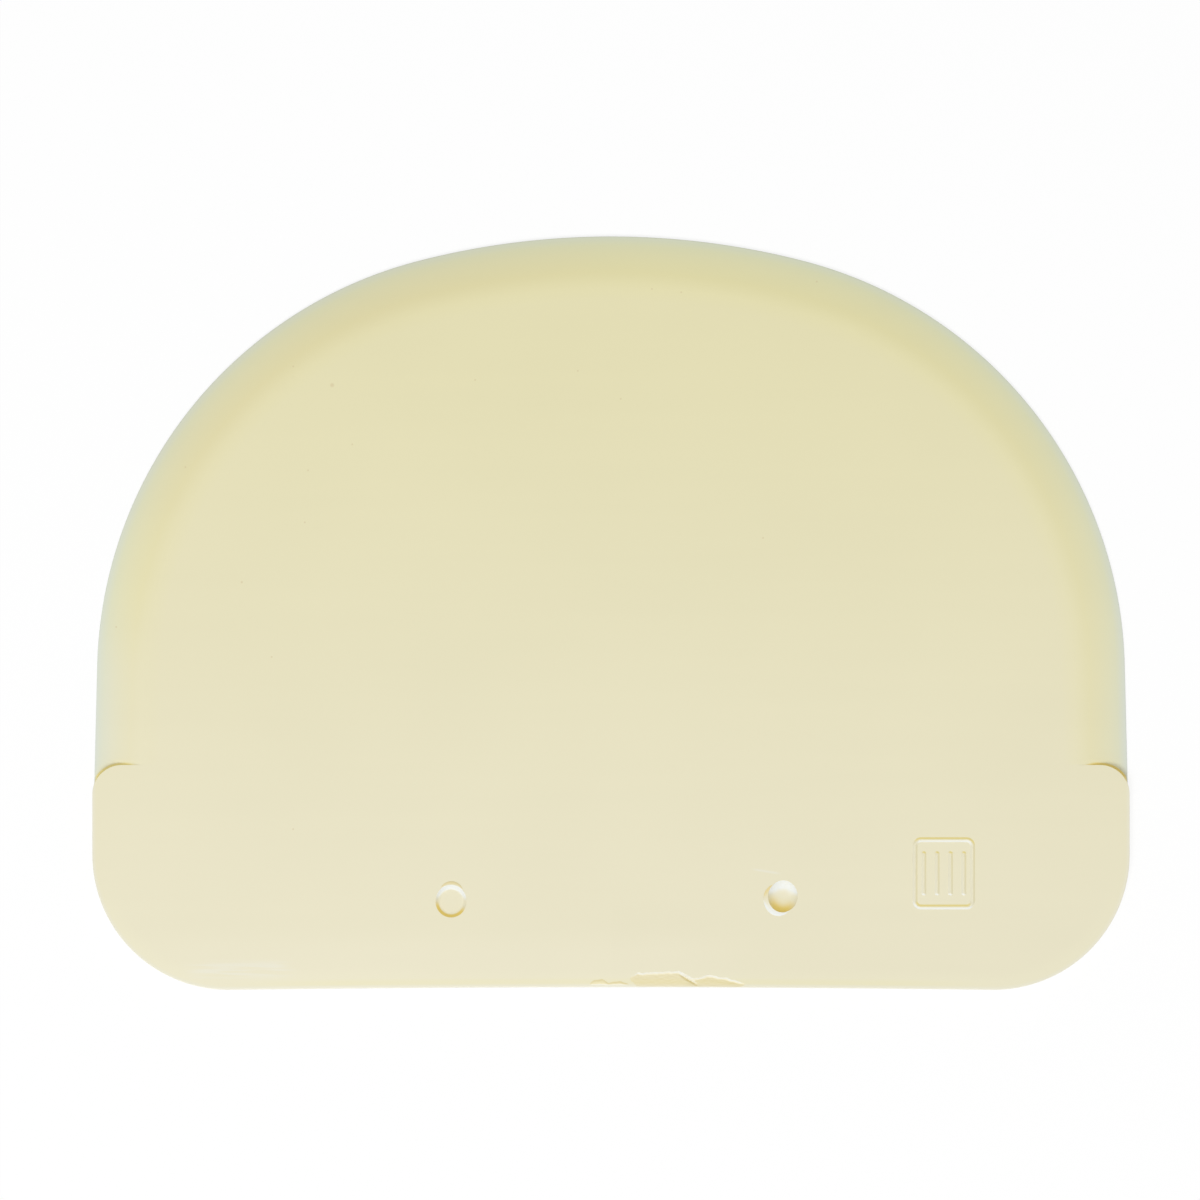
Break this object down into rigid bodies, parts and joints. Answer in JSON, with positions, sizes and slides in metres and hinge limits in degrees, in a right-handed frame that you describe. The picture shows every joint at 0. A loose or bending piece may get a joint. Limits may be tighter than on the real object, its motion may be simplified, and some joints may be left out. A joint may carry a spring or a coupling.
{
  "type": "bowl scraper",
  "caption": "Half-round plastic bowl scraper: a thin flat plate with a bevelled curved scraping edge and a full-thickness grip band along its straight edge.",
  "frame": {"origin": "under the middle of the plate, on the plane of its flat back", "axes": "+X along the straight grip edge, +Y from the grip edge to the crown of the curved edge, +Z out of the face that carries the bevel"},
  "size_m": [0.16, 0.1162, 0.0027],
  "materials": {
    "ivory_polypropylene": "ivory polypropylene with a soft sheen, slightly see-through where it is thin"
  },
  "bodies": {
    "root": {"scraper": "ivory_polypropylene"}
  },
  "joints": []
}
